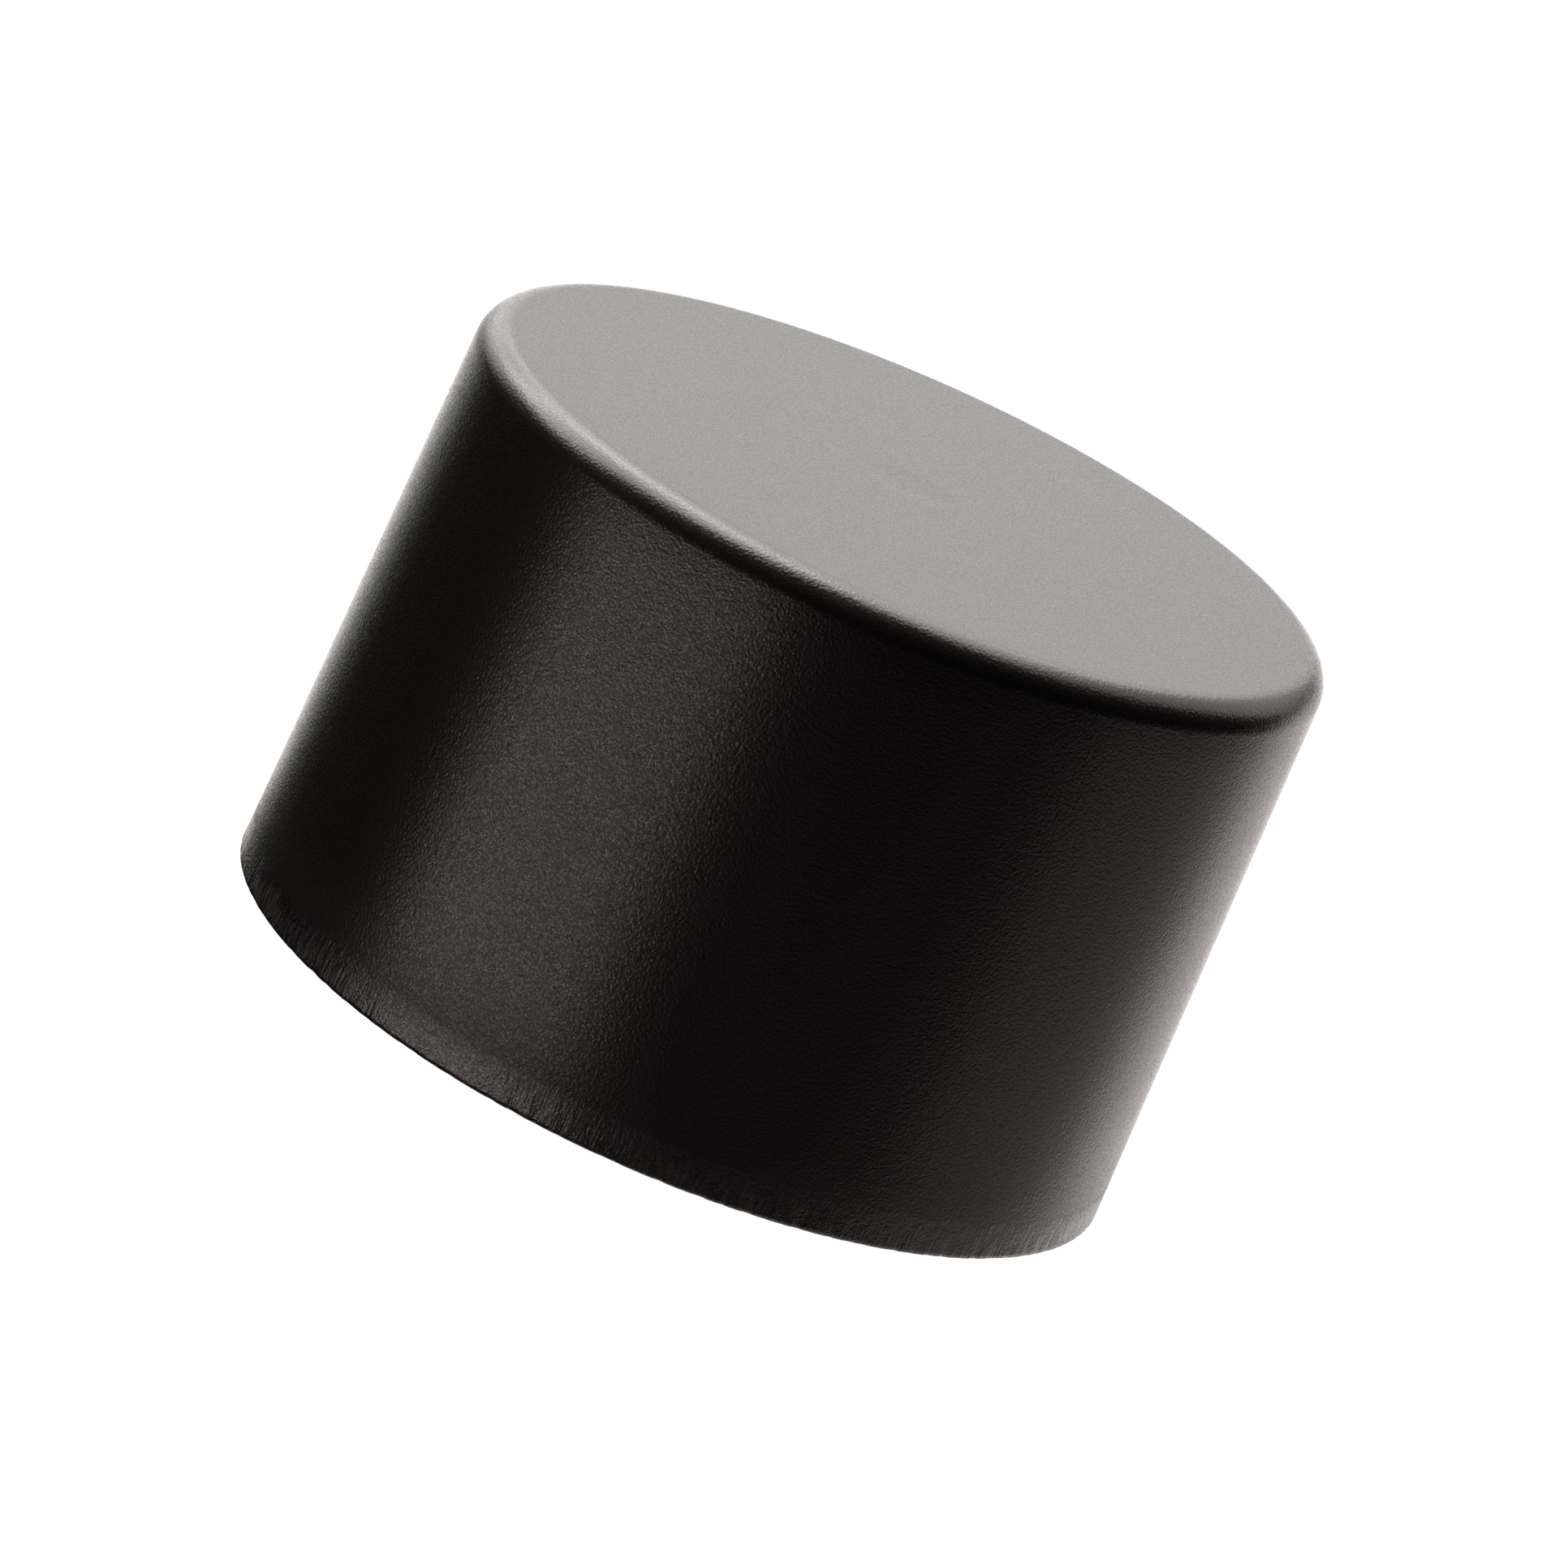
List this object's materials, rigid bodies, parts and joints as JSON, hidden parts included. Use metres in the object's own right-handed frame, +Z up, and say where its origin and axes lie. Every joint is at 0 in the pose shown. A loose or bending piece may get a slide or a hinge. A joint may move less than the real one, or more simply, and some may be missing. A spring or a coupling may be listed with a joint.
{
  "type": "dealer button",
  "caption": "Weighted drum-shaped game marker: black moulded shell with a rounded rim, on a felt pad, with steel ballast inside.",
  "frame": {"origin": "middle of the felt pad's underside, on the surface that the button stands on", "axes": "+Z up the button's axis, towards the top face; the outside is round, so X and Y are any two directions across it"},
  "size_m": [0.05, 0.05, 0.0325],
  "materials": {
    "shell_plastic": "black ABS with a fine, even spark-eroded grain",
    "plate_plastic": "dark grey ABS, plain moulded",
    "felt": "black pressed felt with a die-cut edge",
    "adhesive": "double-sided tape, clear amber film",
    "foam": "charcoal open-cell foam",
    "ballast_steel": "zinc-plated stamped steel, dull",
    "screw_steel": "bright zinc-plated steel",
    "insert_brass": "turned and knurled brass"
  },
  "bodies": {
    "root": {"shell": "shell_plastic", "brass_insert": "insert_brass", "upper_foam_ring": "foam", "ballast_ring_1": "ballast_steel", "ballast_ring_2": "ballast_steel", "ballast_ring_3": "ballast_steel", "ballast_ring_4": "ballast_steel", "ballast_ring_5": "ballast_steel", "ballast_ring_6": "ballast_steel", "lower_foam_ring": "foam", "base_plate": "plate_plastic", "screw_washer": "screw_steel", "base_screw": "screw_steel", "pad_adhesive": "adhesive", "felt_pad": "felt"}
  },
  "joints": []
}
